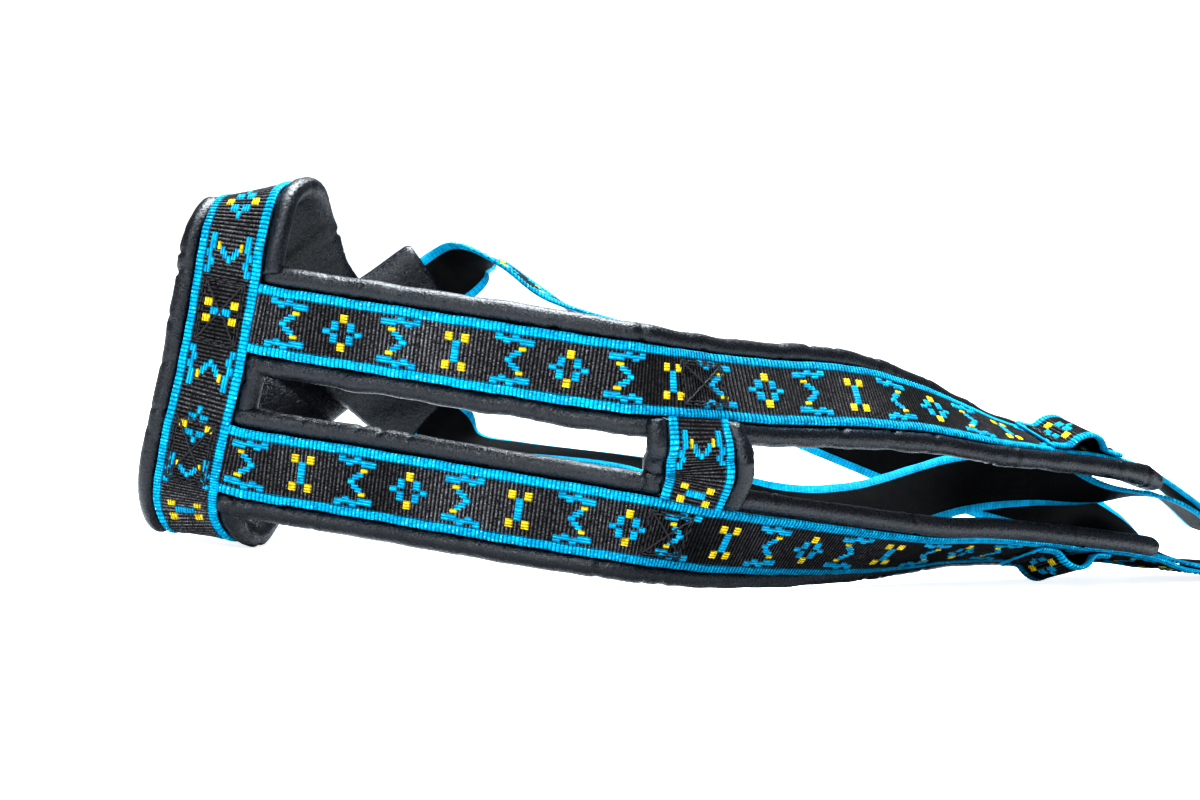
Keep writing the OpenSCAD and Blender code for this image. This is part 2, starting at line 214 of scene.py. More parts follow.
def swept_mesh(name, rows, uv=None, colours=None):
    """A closed skin over rings of points, with a cap on each end, in metres."""
    n, m = rows.shape[:2]
    ring, side = np.meshgrid(np.arange(n - 1), np.arange(m), indexing="ij")
    p = ring * m + side
    q = ring * m + (side + 1) % m
    quads = np.stack([p, q, q + m, p + m], -1).reshape(-1, 4)
    caps = np.stack([np.arange(m)[::-1], (n - 1) * m + np.arange(m)])
    mesh = bpy.data.meshes.new(name)
    mesh.vertices.add(n * m)
    mesh.vertices.foreach_set("co", (rows.reshape(-1, 3) * 0.001).astype(np.float32).ravel())
    loops = np.concatenate([quads.ravel(), caps.ravel()])
    starts = np.concatenate([np.arange(len(quads)) * 4, len(quads) * 4 + np.array([0, m])])
    mesh.loops.add(len(loops))
    mesh.loops.foreach_set("vertex_index", loops.astype(np.int32))
    mesh.polygons.add(len(starts))
    mesh.polygons.foreach_set("loop_start", starts.astype(np.int32))
    mesh.polygons.foreach_set("loop_total",
        np.concatenate([np.full(len(quads), 4), [m, m]]).astype(np.int32))
    mesh.update(calc_edges=True)
    if uv is not None:
        corner = np.stack(
            [uv[ring, side], uv[ring, side + 1], uv[ring + 1, side + 1], uv[ring + 1, side]], -2)
        flat = np.concatenate([corner.reshape(-1, 2), np.zeros((2 * m, 2))])
        mesh.uv_layers.new(name="weave").data.foreach_set("uv", flat.astype(np.float32).ravel())
    if colours is not None:
        each = np.repeat(colours.reshape(-1, 3), 4, axis=0)
        each = np.concatenate([each, np.repeat(colours[[0, -1], 0], m, axis=0)])
        each = np.concatenate([each, np.ones((len(each), 1))], -1)
        # The colour attribute holds the yarn dyes together with the painted highlights and shade of the weave
        layer = mesh.color_attributes.new("yarn_and_painted_light", "FLOAT_COLOR", "CORNER")
        layer.data.foreach_set("color", each.astype(np.float32).ravel())
    mesh.validate()
    mesh.shade_smooth()
    piece = bpy.data.objects.new(name, mesh)
    scene.collection.objects.link(piece)
    return piece


# The webbing is woven in one repeat of four figures. Each chart is half a figure, from the middle of the
# strap outwards: how many half-millimetre threads, and the floats over fourteen ribs.
# b is blue and y yellow.
diamond = [(1, "..bb......bb.."), (1, "..bbbb..bbbb.."), (5, "....bb..bb...."), (1, "....bbyybb...."),
    (5, "......yy......"), (5, "..............")]
spool = [(7, "......bb......"), (1, "....yybbyy...."), (5, "....yy..yy...."), (5, "..............")]
arrow = [(2, ".....bb......."), (2, "......bb......"), (1, "......bbb....."), (2, ".......bb....."),
    (3, "........yy...."), (1, ".............."), (2, "....bb..bbbb.."), (3, "..bbbbbbbbbb.."),
    (2, "..bb..bb......")]
flipped_arrow = [(count, row[::-1]) for count, row in arrow]
figure_ribs = 14
figure_l = 20.8
half_threads = 18


def chart_of(*figures):
    """Letters by rib and thread, from the middle thread outwards."""
    columns = []
    for figure in figures:
        rows = [row for count, row in figure for _ in range(count)]
        columns += [[rows[k][i] for k in range(half_threads)] for i in range(figure_ribs)]
    return np.array(columns)


repeat = chart_of(arrow, diamond, flipped_arrow, spool)
yarns = {
    "ground": (0.011, 0.0105, 0.011),
    "blue": (0.004, 0.38, 0.64),
    "edge": (0.002, 0.45, 0.74),
    "painted_glint": (0.30, 0.72, 0.85),
    "yellow": (0.86, 0.62, 0.03),
    "lining": (0.008, 0.008, 0.009)}
rib_rows = 4
thread_w = 0.5
selvedge_w = 3.3
rib_h = 0.4
float_h = 0.45
back_columns = 8
# Painted highlight and shade on each quarter of a rib, between the figures and on the selvedges: the crest is
# painted brightest and the groove darkest
rib_highlight_rows = np.array([0.0, 0.3, 1.0, 0.3])
selvedge_highlight_rows = np.array([0.3, 0.95, 1.25, 0.9])
ground_shade = 0.12
rib_highlight_gain = 9.5
glint_share = 0.05
float_end_shade = 0.45


def weave(name, route, begin, finish, knots, width=webbing_w, base=ply_gap, figured=True, seed=1):
    """A ribbed webbing from begin to finish. knots are lengths and how many figures lie before them."""
    rng = np.random.default_rng(seed)
    knot_s, knot_f = (np.array(x, float) for x in zip(*knots))
    far = 1000.0
    knot_s = np.concatenate([[knot_s[0] - far], knot_s, [knot_s[-1] + far]])
    knot_f = np.concatenate([[knot_f[0] - far / figure_l], knot_f, [knot_f[-1] + far / figure_l]])
    first, last = np.interp([begin, finish], knot_s, knot_f) * figure_ribs
    ribs = np.arange(math.ceil(first * rib_rows), math.floor(last * rib_rows) + 1) / rib_rows
    ribs = np.concatenate([[first], ribs, [last]])
    s = np.interp(ribs / figure_ribs, knot_f, knot_s)
    columns = round(width / thread_w)
    v = np.linspace(-width / 2, width / 2, columns + 1)
    mid_v = (v[:-1] + v[1:]) / 2
    rib = np.floor(ribs[:-1] + 1e-6).astype(int)
    thread = np.minimum((np.abs(mid_v) / thread_w).astype(int), half_threads - 1)
    letters = repeat[rib[:, None] % len(repeat), thread[None]]
    edge = np.abs(mid_v) > width / 2 - selvedge_w
    inside = np.abs(mid_v) < half_threads * thread_w
    blue = (letters == "b") & inside & figured
    yellow = (letters == "y") & inside & figured
    colour = np.empty(letters.shape + (3,))
    colour[:] = yarns["ground"]
    colour[blue] = yarns["blue"]
    colour[yellow] = yarns["yellow"]
    colour[:, edge] = yarns["edge"]
    # Each float and each rib of the selvedge catches the light differently
    tone = rng.normal(1, 0.16, (rib.max() - rib.min() + 1, columns))[rib - rib.min()]
    colour *= np.clip(tone, 0.6, 1.5)[..., None]
    groove = np.isclose((ribs[:-1] * rib_rows) % rib_rows, 0)
    phase = np.floor(np.mod(ribs[:-1], 1) * rib_rows + 1e-3).astype(int)
    dim = np.ones(letters.shape)
    # The painted highlight on the tops of the ribs is stronger in some stretches than in others
    shine = 1 + 0.6 * np.sin(ribs[:-1] / 9 + seed) * np.sin(ribs[:-1] / 23 + 2 * seed)
    rib_highlight = rib_highlight_rows[phase] * shine
    rib_highlight = rib_highlight[:, None] * np.clip(rng.normal(1, 0.45, letters.shape), 0.1, 2.2)
    # Painted light on the ground: painted shade in the grooves and a painted highlight on the crests
    dim *= np.where(blue | yellow, 1, ground_shade + rib_highlight_gain * rib_highlight)
    # Painted glints: a few crest cells of the selvedges are painted pale blue as highlights
    bright = edge & (rng.random(letters.shape) < glint_share) & (phase == 2)[:, None]
    colour[bright] = yarns["painted_glint"]
    # Painted highlight and shade on the ribs of the selvedges
    dim[:, edge] = selvedge_highlight_rows[phase][:, None]
    # Painted shade on the last rib of each float, as a dark gap before the next
    float_end = np.vstack([letters[1:] != letters[:-1], np.zeros((1, columns), bool)])
    dim[float_end & (blue | yellow)] *= float_end_shade
    # Two threads run side by side in each float: one of each pair is painted brighter as a highlight and the
    # other darker as shade, which paints a dark line between the pairs
    dim *= np.where(blue | yellow, np.where(thread % 2 == 0, 1.25, 0.6)[None], 1)
    seam = np.abs(np.abs(mid_v) - (width / 2 - selvedge_w)) < thread_w * 0.6
    dim[:, seam] *= 0.3
    colour *= dim[..., None]

    # Relief: ribs, floats that ride over two of them, and round selvedges
    wave = 0.5 - 0.5 * np.cos(2 * math.pi * ribs)
    lifted = (blue | yellow).astype(float)
    padded = np.pad(lifted, ((1, 1), (1, 1)), mode="edge")
    raised = np.minimum.reduce([padded[:-1, :-1], padded[1:, :-1], padded[:-1, 1:], padded[1:, 1:]])
    top = webbing_t - rib_h + rib_h * wave[:, None] * (1 - 0.7 * raised) + float_h * raised
    inset = np.clip((width / 2 - np.abs(v)) / selvedge_w, 0, 1)
    bulge = np.sin(math.pi * np.clip(inset, 0.06, 0.97)) ** 0.5
    on_edge = inset < 1
    top[:, on_edge] += (0.30 * bulge + 0.10 * wave[:, None] * bulge)[:, on_edge] - 0.1
    outer = np.abs(v) > width / 2 - 0.3
    top[:, outer] = webbing_t * 0.55
    sway = 0.12 * np.sin(ribs / 3.1 + seed) + 0.08 * np.sin(ribs / 1.3)
    across = v[None] + (sway[:, None] * (inset[None] < 1) * np.sign(v)[None])

    back_v = np.linspace(width / 2, -width / 2, back_columns + 1)
    back_v[1], back_v[-2] = width / 2 - selvedge_w, selvedge_w - width / 2
    rows_v = np.concatenate([across, np.broadcast_to(back_v, (len(ribs), back_columns + 1))], 1)
    back_h = np.zeros(back_columns + 1)
    back_h[[0, -1]] = 0.3
    rows_h = np.concatenate([top, np.broadcast_to(back_h, (len(ribs), back_columns + 1))], 1)
    rows_v[:, columns + 1] -= 0.15
    rows_v[:, -1] += 0.15
    back = np.empty((len(ribs) - 1, back_columns + 2, 3))
    back[:] = yarns["lining"]
    back[:, [0, 1, -2, -1]] = yarns["edge"]
    back *= rng.normal(1, 0.08, back.shape[:2])[..., None]
    # Painted shade: the back is flat, and the first quarter of each rib is darkened where a groove between
    # ribs would fall
    back[groove] *= 0.75
    cell = np.concatenate([colour, back], 1)

    rows = route.on(s, rows_v, base + rows_h)
    flat_v = np.concatenate([v, back_v, v[:1]])
    uv = np.stack(np.broadcast_arrays(ribs[:, None], flat_v[None] / thread_w), -1)
    return swept_mesh(name, rows[:, ::-1], uv[:, ::-1], cell[:, ::-1][:, np.r_[1:cell.shape[1], 0]])


def new_group(name, inputs, outputs):
    group = bpy.data.node_groups.new(name, "ShaderNodeTree")
    for label, kind, value in inputs:
        group.interface.new_socket(label, in_out="INPUT", socket_type=kind).default_value = value
    for label, kind in outputs:
        group.interface.new_socket(label, in_out="OUTPUT", socket_type=kind)
    return group, group.nodes.new("NodeGroupInput"), group.nodes.new("NodeGroupOutput")


def mix_colours(tree, share, plain, other):
    """The colour output of a mix of two colours."""
    mixed = node(tree, "ShaderNodeMix", {"Factor": share}, data_type="RGBA")
    for socket, source in zip([x for x in mixed.inputs if x.type == "RGBA"], (plain, other)):
        tree.links.new(source, socket)
    return next(x for x in mixed.outputs if x.type == "RGBA")


# Yarn: fine twisted threads across each rib, a soft mottling of the dye, and painted shade in the valleys
# between the threads with a painted highlight on their crowns
yarn_group, given, result = new_group("twisted yarn",
    [("Color", "NodeSocketColor", (0.5, 0.5, 0.5, 1)), ("Mottle", "NodeSocketFloat", 0.25)],
    [("Color", "NodeSocketColor"), ("Roughness", "NodeSocketFloat"), ("Height", "NodeSocketFloat")])
weave_uv = node(yarn_group, "ShaderNodeUVMap", uv_map="weave")
split = node(yarn_group, "ShaderNodeSeparateXYZ", {"Vector": weave_uv.outputs["UV"]})
turned = node(yarn_group, "ShaderNodeMath", {0: split.outputs["Y"], 1: 2 * math.pi}, operation="MULTIPLY")
ridge = node(yarn_group, "ShaderNodeMath", {0: turned.outputs[0]}, operation="SINE")
solid_place = node(yarn_group, "ShaderNodeTexCoord")
fuzz = node(yarn_group, "ShaderNodeTexNoise",
    {"Vector": solid_place.outputs["Object"], "Scale": 1800.0, "Detail": 3.0})
cloud = node(yarn_group, "ShaderNodeTexNoise",
    {"Vector": solid_place.outputs["Object"], "Scale": 260.0, "Detail": 2.0})
height = node(yarn_group, "ShaderNodeMath", {0: ridge.outputs[0], 1: 0.35, 2: fuzz.outputs["Fac"]},
    operation="MULTIPLY_ADD")
yarn_group.links.new(height.outputs[0], result.inputs["Height"])
dark = node(yarn_group, "ShaderNodeMapRange",
    {"Value": cloud.outputs["Fac"], "From Min": 0.3, "From Max": 0.7, "To Min": 0.75, "To Max": 1.25})
# Painted shade in the valley between threads and a painted highlight on their crowns
line = node(yarn_group, "ShaderNodeMapRange",
    {"Value": ridge.outputs[0], "From Min": -1.0, "From Max": 0.4, "To Min": 0.45, "To Max": 1.15})
dark = node(yarn_group, "ShaderNodeMath", {0: dark.outputs[0], 1: line.outputs[0]}, operation="MULTIPLY")
speck = node(yarn_group, "ShaderNodeMapRange",
    {"Value": fuzz.outputs["Fac"], "From Min": 0.3, "From Max": 0.7, "To Min": 0.7, "To Max": 1.3})
both = node(yarn_group, "ShaderNodeMath", {0: dark.outputs[0], 1: speck.outputs[0]}, operation="MULTIPLY")
toned = node(yarn_group, "ShaderNodeVectorMath",
    {0: given.outputs["Color"], "Scale": both.outputs[0]}, operation="SCALE")
mottled = mix_colours(yarn_group, given.outputs["Mottle"], given.outputs["Color"], toned.outputs[0])
yarn_group.links.new(mottled, result.inputs["Color"])
sheen = node(yarn_group, "ShaderNodeMapRange",
    {"Value": fuzz.outputs["Fac"], "From Min": 0.3, "From Max": 0.7, "To Min": 0.42, "To Max": 0.62})
yarn_group.links.new(sheen.outputs[0], result.inputs["Roughness"])


def woven_material(name, mottle):
    made, tree, shader = new_material(name)
    dye = node(tree, "ShaderNodeAttribute", attribute_name="yarn_and_painted_light")
    yarn_and_painted_light = node(tree, "ShaderNodeGroup", node_tree=yarn_group)
    tree.links.new(dye.outputs["Color"], yarn_and_painted_light.inputs["Color"])
    yarn_and_painted_light.inputs["Mottle"].default_value = mottle
    bump = node(tree, "ShaderNodeBump", {"Height": yarn_and_painted_light.outputs["Height"], "Strength": 0.8,
        "Distance": 0.0003})
    tree.links.new(yarn_and_painted_light.outputs["Color"], shader.inputs["Base Color"])
    tree.links.new(yarn_and_painted_light.outputs["Roughness"], shader.inputs["Roughness"])
    tree.links.new(bump.outputs[0], shader.inputs["Normal"])
    shader.inputs["Specular IOR Level"].default_value = 0.1
    return made


patterned = woven_material("patterned webbing", 0.8)

# Leatherette: a fine pebbled grain that breaks up the shine, with paler bluish speckles painted on it in
# patches as a speckled sheen
grain_group, given, result = new_group("leatherette grain",
    [("Color", "NodeSocketColor", (0.02, 0.02, 0.02, 1)),
        ("Sheen Speckle Color", "NodeSocketColor", (0.1, 0.1, 0.1, 1)), ("Sheen Speckles", "NodeSocketFloat", 0.5)],
    [("Color", "NodeSocketColor"), ("Roughness", "NodeSocketFloat"), ("Height", "NodeSocketFloat")])
solid_place = node(grain_group, "ShaderNodeTexCoord")
pebble = node(grain_group, "ShaderNodeTexVoronoi",
    {"Vector": solid_place.outputs["Object"], "Scale": 1100.0}, feature="SMOOTH_F1")
fine = node(grain_group, "ShaderNodeTexNoise",
    {"Vector": solid_place.outputs["Object"], "Scale": 900.0, "Detail": 6.0, "Roughness": 0.7})
broad = node(grain_group, "ShaderNodeTexNoise",
    {"Vector": solid_place.outputs["Object"], "Scale": 55.0, "Detail": 5.0, "Roughness": 0.65})
height = node(grain_group, "ShaderNodeMath",
    {0: pebble.outputs["Distance"], 1: 0.5, 2: fine.outputs["Fac"]}, operation="MULTIPLY_ADD")
grain_group.links.new(height.outputs[0], result.inputs["Height"])
# Painted sheen: paler bluish speckles in broad patches
sheen_patches = node(grain_group, "ShaderNodeMapRange",
    {"Value": broad.outputs["Fac"], "From Min": 0.48, "From Max": 0.72, "To Min": 0.0, "To Max": 1.0})
speck = node(grain_group, "ShaderNodeMapRange",
    {"Value": fine.outputs["Fac"], "From Min": 0.45, "From Max": 0.7, "To Min": 0.1, "To Max": 1.0})
share = node(grain_group, "ShaderNodeMath", {0: sheen_patches.outputs[0], 1: speck.outputs[0]}, operation="MULTIPLY")
share = node(grain_group, "ShaderNodeMath", {0: share.outputs[0], 1: given.outputs["Sheen Speckles"]},
    operation="MULTIPLY")
sheen_speckled = mix_colours(grain_group, share.outputs[0], given.outputs["Color"], given.outputs["Sheen Speckle Color"])
grain_group.links.new(sheen_speckled, result.inputs["Color"])
gloss = node(grain_group, "ShaderNodeMapRange",
    {"Value": fine.outputs["Fac"], "From Min": 0.3, "From Max": 0.7, "To Min": 0.18, "To Max": 0.40})
grain_group.links.new(gloss.outputs[0], result.inputs["Roughness"])

leatherette, tree, shader = new_material("black leatherette")
grain = node(tree, "ShaderNodeGroup", node_tree=grain_group)
grain.inputs["Color"].default_value = (0.004, 0.0055, 0.009, 1)
grain.inputs["Sheen Speckle Color"].default_value = (0.022, 0.029, 0.042, 1)
grain.inputs["Sheen Speckles"].default_value = 0.55
bump = node(tree, "ShaderNodeBump", {"Height": grain.outputs["Height"], "Strength": 0.8, "Distance": 0.0004})
tree.links.new(grain.outputs["Color"], shader.inputs["Base Color"])
tree.links.new(grain.outputs["Roughness"], shader.inputs["Roughness"])
tree.links.new(bump.outputs[0], shader.inputs["Normal"])
shader.inputs["Specular IOR Level"].default_value = 0.5

# A pad's outline, from the lower middle round one roll to the webbing, then mirrored
roll_r = (pad_w - webbing_w) / 4
roll_points = 14
ring_spacing = 1.3
lump_lengths = (2.6, 4.1, 6.3, 9.7, 15.0, 22.0)
# Where another pad butts, the roll is let in to this far short of that pad's edges, and swells back over
# let_in_blend
let_in_short = 4.5
let_in_blend = 1.5
let_in_depth = 0.93
hem_l = 2.2


def pad_outline():
    """Half the outline: how far out, how high, and how much the leatherette may pucker there."""
    x = pad_w / 2 - roll_r
    y = roll_h - roll_r
    under = [(0.0, -pad_t, 0.25), (5.0, -pad_t, 0.3), (10.0, -pad_t + 0.05, 0.4), (14.0, -pad_t + 0.35, 0.6)]
    side = [(17.0, -pad_t + 1.2, 0.8), (18.8, -pad_t + 2.5, 1.0)]
    turns = np.linspace(-0.25 * math.pi, 1.05 * math.pi, roll_points)
    roll = [(x + roll_r * math.cos(a), y + roll_r * math.sin(a), 1.0) for a in turns]
    inner = [(webbing_w / 2 - 0.6, -0.5, 0.2), (webbing_w / 2 - 3, -0.2, 0.0), (5.0, -0.1, 0.0)]
    half = np.array(under + side + roll + inner)
    other = half[::-1].copy()
    other[:, 0] *= -1
    return np.vstack([half, other[:-1]])


def smoothstep(x):
    x = np.clip(x, 0, 1)
    return x * x * (3 - 2 * x)


def pad(name, route, begin, finish, joins, seed, creases_per_m=60, folds_per_m=30):
    """A padded sleeve under a webbing. joins are the lengths and sides where another pad butts against it."""
    rng = np.random.default_rng(seed)
    outline = pad_outline()
    count = max(12, round((finish - begin) / ring_spacing))
    s = np.linspace(begin, finish, count)
    v = np.broadcast_to(outline[:, 0], (count, len(outline))).copy()
    h = np.broadcast_to(outline[:, 1], v.shape).copy()
    soft = np.broadcast_to(outline[:, 2], v.shape)
    # The rolls swell and sink along the strap
    for side in (-1, 1):
        lump = sum(rng.normal(0, 0.22) * np.sin(s / length + rng.uniform(0, 6.3))
            for length in lump_lengths)
        on_side = np.sign(v) == side
        h += np.where(on_side & (h > -3), 1, 0) * soft * lump[:, None] * 0.5
        v += np.where(on_side, side, 0) * soft * lump[:, None] * 0.45
    # Creases run over each roll, a few of them deep
    depth = np.zeros(v.shape)
    angle = np.linspace(0, 1, len(outline))[None]
    for side, low, high in ((1, 0.1, 0.5), (-1, 0.5, 0.9)):
        for _ in range(max(2, round((finish - begin) / 1000 * creases_per_m))):
            at = rng.uniform(begin, finish)
            slant = rng.normal(0, 14)
            width = rng.uniform(0.7, 1.8)
            deep = rng.uniform(0.25, 0.9) ** 1.3
            centre = rng.uniform(low, high)
            reach = rng.uniform(0.06, 0.16)
            line = at + slant * (angle - centre)
            fold = np.exp(-((s[:, None] - line) / width) ** 2) - 0.35 * np.exp(
                -((s[:, None] - line) / (2.6 * width)) ** 2)
            depth += deep * fold * np.exp(-((angle - centre) / reach) ** 2)
    centre_v = np.where(np.abs(v) > 10, np.sign(v) * (pad_w / 2 - roll_r), v)
    centre_h = np.where(np.abs(v) > 10, -1.5, -pad_t / 2)
    shrink = np.clip(depth * soft * 0.45, -0.15, 0.45)
    v += (centre_v - v) * shrink
    h += (centre_h - h) * shrink
    # Soft folds cross the face that lies on the dog
    for _ in range(round((finish - begin) / 1000 * folds_per_m)):
        at = rng.uniform(begin, finish)
        fold = np.exp(-((s[:, None] - at - rng.normal(0, 0.35) * v) / rng.uniform(1.2, 3.0)) ** 2)
        h += np.where(h < -4, 1, 0) * rng.uniform(-0.3, 1.3) * fold * smoothstep((19 - np.abs(v)) / 5)
    # A pad that butts here is let in up to the webbing
    for place, side in joins:
        let_in = 1 - smoothstep((np.abs(s - place) - pad_w / 2 + let_in_short) / let_in_blend)[:, None]
        past = np.clip(side * v - webbing_w / 2 + 0.5, 0, None)
        v -= side * past * let_in * let_in_depth
        h = np.where(side * v > webbing_w / 2 - 1, np.minimum(h, h * (1 - let_in) - 0.3 * let_in), h)
    # Both ends are turned in and sewn
    ends = np.minimum(s - begin, finish - s)
    close = np.sqrt(np.clip(1 - (1 - np.clip(ends / hem_l, 0, 1)) ** 2, 0.12, 1))[:, None]
    h = -pad_t / 2 + (h + pad_t / 2) * (0.45 + 0.55 * close)
    v = v * (0.93 + 0.07 * close)
    piece = swept_mesh(name, route.on(s, v, h)[:, ::-1])
    piece.data.materials.append(leatherette)
    return piece


collar = Route(drawn(collar_stations))
collar_left_at = 0.57 * collar.end
collar_right_at = 0.45 * collar.end
collar_pad = pad("collar_pad", collar, 0, collar.end, [(collar_left_at, 1), (collar_right_at, 1)], seed=11,
    creases_per_m=120, folds_per_m=90)
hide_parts("collar_sleeve", "collar_foam")
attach(collar_pad, "harness")
collar_band = weave("collar_band", collar, band_inset, collar.end - band_inset,
    [(170.6, 3.5), (184.5, 4.5), (201.2, 5.5), (223.4, 6.5), (243.6, 7.5), (284.9, 9.5)], seed=3)
collar_band.data.materials.append(patterned)
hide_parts("collar_webbing")
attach(collar_band, "harness")

# Chest and flank straps
# Two padded straps sewn square to the collar, which run under the chest and up the flanks to the tail.
# Their pads stop short of the tail, where the bare webbings lie one on the other.
left_stations = [
    [-180, -27, 82, -.63, -.78, 0], [-151, -51, 80, -.63, -.78, .03],
    [-122, -73, 78, -.58, -.8, .14], [-102, -80, 77, -.2, -.93, .31], [-84, -77, 76, .29, -.86, .42],
    [-53, -66, 74, .29, -.84, .45], [-10, -54, 73, .28, -.81, .52], [25, -42, 69, .23, -.66, .72],
    [59, -33, 62, .13, -.47, .87], [87, -24, 57, .08, -.28, .96], [134, -12, 50, .04, -.15, .99],
    [170, -3, 36, .25, -.1, .96], [200, 3, 18, .35, 0, .94]]
right_stations = [
    [-192, -17, 31, -.63, -.78, 0], [-160, -45, 29, -.63, -.78, 0],
    [-130, -67, 27, -.63, -.78, -.03], [-105, -80, 25, -.31, -.94, -.14], [-80, -78, 22, .31, -.89, -.34],
    [-48, -68, 19, .29, -.83, -.47], [-5, -55, 16, .24, -.7, -.67], [28, -46, 15, .19, -.56, -.81],
    [63, -35, 15.4, .13, -.45, -.88], [137, -15, 11.4, .05, -.25, -.97], [170, -3, 6, 0, -.1, -1],
    [200, 3, 4.5, 0, 0, -1]]
tail_x = 226.0 - middle[0]
tail_y = 6.0 - middle[1]
tail_l = 20.0
tug_w = 15.0
tug_t = 1.6
wire_d = 4.0
ring_pitch = 34.0
eye_r = wire_d / 2 + ring_pitch / 2 - math.sqrt((ring_pitch / 2) ** 2 - (tug_w / 2) ** 2) + 0.4
tail_z = eye_r + tug_t
tail_gap = 2 * tug_t + 4 * ply_gap
seam_gap = 1.0
pad_from = 0.5
pad_to = 412.0


def leaving(at):
    out = collar.frame(at)[1][0]
    return [np.concatenate([collar.on(at, v, 0)[0, 0], out]) for v in (webbing_w / 2, pad_w / 2 + 4)]


def tail(side):
    return [[x, tail_y, tail_z + side * tail_gap / 2, 0, 0, side]
        for x in (tail_x - 6, tail_x, tail_x + tail_l)]


left = Route(np.vstack([leaving(collar_left_at), drawn(left_stations), tail(1)]))
right = Route(np.vstack([leaving(collar_right_at), drawn(right_stations), tail(-1)]))
cross_left_at = 164.0
cross_right_at = 170.0
left_figures = [
    (13.3, 0.5), (98.8, 4.5), (139.6, 6.5), (155.7, 7.5), (174.5, 8.5), (202.1, 9.5), (292.1, 13.5)]
right_figures = [(9.7, 2.5), (132.8, 8.5), (168.9, 10.5), (213.7, 12.5), (296.9, 16.5), (396.1, 21.5)]
for side, route, crossing, figures, seed in (
        ("left", left, (cross_left_at + 4, 1), left_figures, 21),
        ("right", right, (cross_right_at + 4, -1), right_figures, 31)):
    strap_pad = pad(f"{side}_strap_pad", route, pad_from, pad_to, [crossing], seed)
    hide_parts(f"{side}_strap_sleeve", f"{side}_strap_foam")
    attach(strap_pad, "harness")
    strap = weave(
        f"{side}_strap_band", route, band_inset, route.end - seam_gap, figures, seed=seed + 1)
    strap.data.materials.append(patterned)
    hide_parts(f"{side}_strap_webbing")
    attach(strap, "harness")

# Cross strap
# A short padded strap between the chest straps, which keeps them apart behind the front legs.
# Its webbing lies over their rolled edges and is sewn to the edges of their webbings.
cross_lift = 0.5
cross_turn = np.array([0, 0, 0, -0.35, 0, 0])


def beside(route, at, v):
    return np.concatenate([route.on(at, v, cross_lift)[0, 0], route.frame(at)[1][0]])


cross_from = [beside(left, cross_left_at, v) for v in (webbing_w / 2, pad_w / 2 + 2)]
cross_to = [beside(right, cross_right_at, -v) for v in (pad_w / 2 + 2, webbing_w / 2)]
cross = Route([
    cross_from[0] + 0.3 * cross_turn, cross_from[1] + 0.7 * cross_turn,
    (cross_from[1] + cross_to[0]) / 2 + cross_turn,
    cross_to[0] + 0.7 * cross_turn, cross_to[1] + 0.3 * cross_turn])
cross_pad = pad("cross_strap_pad", cross, pad_from, cross.end - pad_from, [], seed=41,
    creases_per_m=150, folds_per_m=0)
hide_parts("cross_strap_sleeve", "cross_strap_foam")
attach(cross_pad, "harness")
cross_band = weave("cross_strap_band", cross, band_inset, cross.end - band_inset,
    [(0.39 * cross.end, 2.5), (0.87 * cross.end, 3.5)], seed=43)
cross_band.data.materials.append(patterned)
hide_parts("cross_strap_webbing")
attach(cross_band, "harness")

# Back straps
# Bare webbings from the two yoke ends, which cross over the back and are sewn under the flank straps.
# Their inner face is plain black between the coloured selvedges.
back_left_stations = [
    [-129, 75, 98, .49, .86, .15], [-123, 74, 103, .5, .8, .3], [-117, 67, 109, .4, .2, .9],
    [-109, 61, 108, .31, -.16, .94], [-90, 58, 97, .35, -.21, .91], [-51, 51, 81, .52, .37, .77],
    [1, 45, 62, .48, .83, .3], [53, 37, 45, .4, .91, .1], [89, 31, 34, .41, .91, 0],
    [126, 20, 26, .39, .87, -.3], [150, 8, 20, .2, .5, -.85], [176, 0, 9, -.15, 0, -.98],
    [202, 3, 6.4, 0, 0, -1]]
back_right_stations = [
    [-132, 65, 49, .49, .86, -.1], [-125, 64, 43, .5, .8, -.3], [-115, 58, 38, .25, .3, -.92],
    [-96, 51, 38, .05, .11, -.99], [-57, 38, 36, .05, .11, -.99], [-29, 30, 29, 0, .52, -.85],
    [5, 26, 19, .28, .87, -.4], [38, 20, 21, .4, .89, -.2], [82, 18, 34, .41, .91, 0],
    [115, 13, 37, .35, .8, .4], [138, 3, 33, .15, .4, .9], [166, -3, 33, .3, -.05, .95],
    [194, 2, 19, .4, 0, .92]]
back_routes = {"left": Route(drawn(back_left_stations)), "right": Route(drawn(back_right_stations))}
for seed, (side, route) in enumerate(back_routes.items(), start=51):
    strap = weave(f"back_strap_{side}_band", route, 0.0, route.end, [(20.0, 1.0)], seed=seed)
    strap.data.materials.append(patterned)
    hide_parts(f"back_strap_{side}")
    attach(strap, "harness")

# Side loops
# A short webbing on each flank strap, sewn down at both ends and arched between, for a belly strap.
side_loop_at = 371.0
loop_l = 40.0
loop_h = 6.0
loop_base = webbing_t + 2 * ply_gap + 0.3
arch = [(-1, 0), (-0.72, 0), (-0.5, 0.15), (-0.3, 0.75), (0, 1), (0.3, 0.75), (0.5, 0.15), (0.72, 0), (1, 0)]
for seed, (side, route) in enumerate((("left", left), ("right", right)), start=61):
    places = [side_loop_at + along * loop_l / 2 for along, _ in arch]
    points = [np.concatenate([route.on(s, 0, loop_base + rise * loop_h)[0, 0], route.frame(s)[1][0]])
        for s, (_, rise) in zip(places, arch)]
    arched = Route(points)
    loop = weave(f"{side}_side_loop_band", arched, 0, arched.end, [(3.0, 1.0)], width=webbing_w - 1, base=0,
        seed=seed)
    loop.data.materials.append(patterned)
    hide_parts(f"{side}_side_loop")
    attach(loop, "harness")

